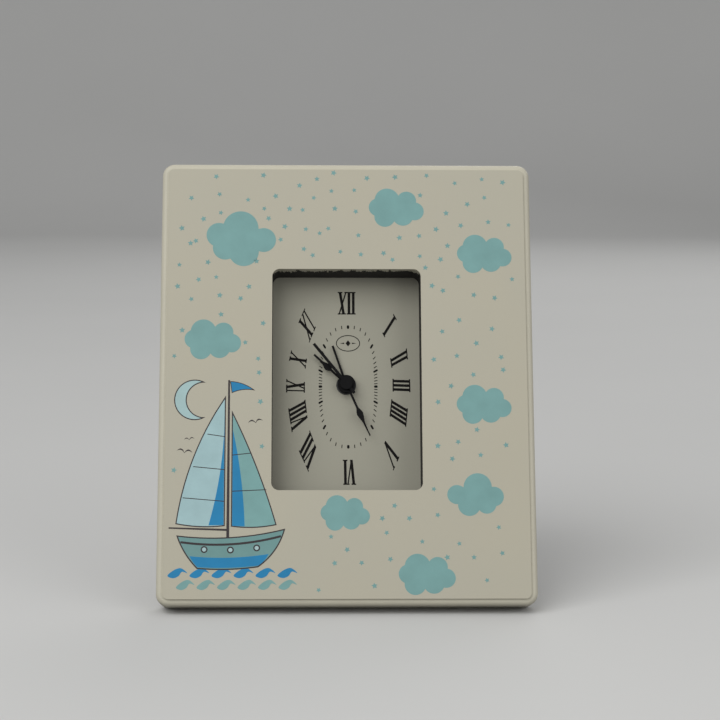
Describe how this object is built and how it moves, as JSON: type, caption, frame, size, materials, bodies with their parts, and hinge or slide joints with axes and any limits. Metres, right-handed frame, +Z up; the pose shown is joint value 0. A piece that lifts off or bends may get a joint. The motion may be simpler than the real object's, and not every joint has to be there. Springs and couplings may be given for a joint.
{
  "type": "photo frame clock",
  "caption": "Leaning rectangular board with a tall window, a dial and hands set deep behind it, a quartz alarm movement on its back and a folding wire stand.",
  "frame": {"origin": "bottom centre of the bounding box, on the surface that the clock stands on", "axes": "+X to the viewer's right, +Y from the dial towards the stand's foot, +Z up"},
  "size_m": [0.15, 0.1032, 0.1737],
  "materials": {
    "painted_board": "cream paint, softly sheened",
    "printed_sheet": "matt printed sheet",
    "dial_paper": "matt printed card",
    "hardboard": "pressed board, plain",
    "hand_black": "matt black lacquer",
    "case_plastic": "fine grained moulding",
    "knob_plastic": "moulded, ribbed",
    "switch_plastic": "moulded",
    "wheel_plastic": "natural acetal",
    "plate_plastic": "moulded",
    "arbor_steel": "polished",
    "screw_steel": "zinc plated",
    "stator_iron": "stamped",
    "coil_copper": "enamelled wire",
    "bobbin_plastic": "moulded",
    "circuit_laminate": "solder mask",
    "buzzer_brass": "rolled",
    "battery_jacket": "plain jacket",
    "contact_nickel": "nickel plated",
    "stand_wire": "bright zinc",
    "bracket_steel": "zinc plated",
    "foot_rubber": "matt"
  },
  "bodies": {
    "frame": {"frame_board": "painted_board", "printed_face_sheet": "printed_sheet", "dial_card": "dial_paper", "dial_backing_plate": "hardboard", "backing_plate_screws": "screw_steel", "movement_mount_screws": "screw_steel", "movement_front_case": "case_plastic", "movement_rear_case": "case_plastic", "case_screws": "screw_steel", "train_plate": "plate_plastic", "train_bridge": "plate_plastic", "bridge_screws": "screw_steel", "stator_plate": "stator_iron", "coil_core": "stator_iron", "coil_bobbin": "bobbin_plastic", "coil_winding": "coil_copper", "circuit_board": "circuit_laminate", "quartz_crystal": "contact_nickel", "buzzer": "buzzer_brass", "battery": "battery_jacket", "battery_plate_contact": "contact_nickel", "battery_spring_contact": "contact_nickel", "stand_bracket_left": "bracket_steel", "stand_bracket_right": "bracket_steel", "bracket_screws": "screw_steel"},
    "second_hand": {"second_hand": "hand_black", "second_wheel": "arbor_steel"},
    "rotor": {"motor_rotor": "wheel_plastic"},
    "intermediate_wheel": {"intermediate_wheel": "wheel_plastic"},
    "third_wheel": {"third_wheel": "wheel_plastic"},
    "centre_wheel": {"centre_wheel": "wheel_plastic"},
    "minute_hand": {"minute_hand": "hand_black", "minute_pipe": "wheel_plastic"},
    "minute_work_wheel": {"minute_work_wheel": "wheel_plastic"},
    "hour_hand": {"hour_hand": "hand_black", "hour_wheel": "wheel_plastic"},
    "time_set_knob": {"time_set_knob": "knob_plastic", "time_set_shaft": "wheel_plastic"},
    "alarm_hand": {"alarm_hand": "hand_black", "alarm_wheel": "wheel_plastic"},
    "alarm_set_knob": {"alarm_set_knob": "knob_plastic", "alarm_set_shaft": "wheel_plastic"},
    "alarm_switch": {"alarm_switch_slider": "switch_plastic"},
    "battery_cover": {"battery_cover": "case_plastic"},
    "stand": {"stand_wire": "stand_wire", "stand_foot_sleeve": "foot_rubber", "stand_end_clips": "bracket_steel"}
  },
  "joints": [
    {"name": "second_hand_turn", "type": "hinge", "parent": "frame", "child": "second_hand", "pos_m": [0, -0.00883, 0.08507], "axis": [0, 0.9455, -0.3256], "continuous": true},
    {"name": "rotor_turn", "type": "hinge", "parent": "frame", "child": "rotor", "pos_m": [0.01022, -0.00691, 0.09065], "axis": [0, 0.9455, -0.3256], "continuous": true},
    {"name": "intermediate_wheel_turn", "type": "hinge", "parent": "frame", "child": "intermediate_wheel", "pos_m": [0.00606, -0.00769, 0.08838], "axis": [0, 0.9455, -0.3256], "continuous": true},
    {"name": "third_wheel_turn", "type": "hinge", "parent": "frame", "child": "third_wheel", "pos_m": [-0.0051, -0.00595, 0.09342], "axis": [0, 0.9455, -0.3256], "continuous": true},
    {"name": "centre_wheel_turn", "type": "hinge", "parent": "frame", "child": "centre_wheel", "pos_m": [0, -0.00883, 0.08507], "axis": [0, 0.9455, -0.3256], "continuous": true},
    {"name": "minute_hand_turn", "type": "hinge", "parent": "frame", "child": "minute_hand", "pos_m": [0, -0.00883, 0.08507], "axis": [0, 0.9455, -0.3256], "continuous": true},
    {"name": "minute_work_wheel_turn", "type": "hinge", "parent": "frame", "child": "minute_work_wheel", "pos_m": [0.00357, -0.01084, 0.07923], "axis": [0, 0.9455, -0.3256], "continuous": true},
    {"name": "hour_hand_turn", "type": "hinge", "parent": "frame", "child": "hour_hand", "pos_m": [0, -0.00883, 0.08507], "axis": [0, 0.9455, -0.3256], "continuous": true},
    {"name": "time_set_knob_turn", "type": "hinge", "parent": "frame", "child": "time_set_knob", "pos_m": [0.00714, -0.01285, 0.07338], "axis": [0, 0.9455, -0.3256], "continuous": true},
    {"name": "alarm_hand_turn", "type": "hinge", "parent": "frame", "child": "alarm_hand", "pos_m": [0, -0.00883, 0.08507], "axis": [0, 0.9455, -0.3256], "continuous": true},
    {"name": "alarm_set_knob_turn", "type": "hinge", "parent": "frame", "child": "alarm_set_knob", "pos_m": [-0.00911, -0.01054, 0.0801], "axis": [0, 0.9455, -0.3256], "continuous": true},
    {"name": "alarm_switch_slide", "type": "slide", "parent": "frame", "child": "alarm_switch", "axis": [1, 0, 0], "range_m": [0, 0.003]},
    {"name": "battery_cover_slide", "type": "slide", "parent": "frame", "child": "battery_cover", "axis": [1, 0, 0], "range_m": [0, 0.056]},
    {"name": "stand_fold", "type": "hinge", "parent": "frame", "child": "stand", "pos_m": [0, 0.00684, 0.11828], "axis": [-1, 0, 0], "range_deg": [0, 39]}
  ],
  "couplings": [
    {"joint": "intermediate_wheel_turn", "follows": "second_hand_turn", "ratio": -6},
    {"joint": "rotor_turn", "follows": "second_hand_turn", "ratio": 30},
    {"joint": "third_wheel_turn", "follows": "second_hand_turn", "ratio": -0.125},
    {"joint": "centre_wheel_turn", "follows": "second_hand_turn", "ratio": 0.016667},
    {"joint": "minute_work_wheel_turn", "follows": "minute_hand_turn", "ratio": -0.33333},
    {"joint": "hour_hand_turn", "follows": "minute_hand_turn", "ratio": 0.083333},
    {"joint": "time_set_knob_turn", "follows": "minute_hand_turn", "ratio": 1},
    {"joint": "alarm_set_knob_turn", "follows": "alarm_hand_turn", "ratio": -1.3333}
  ]
}
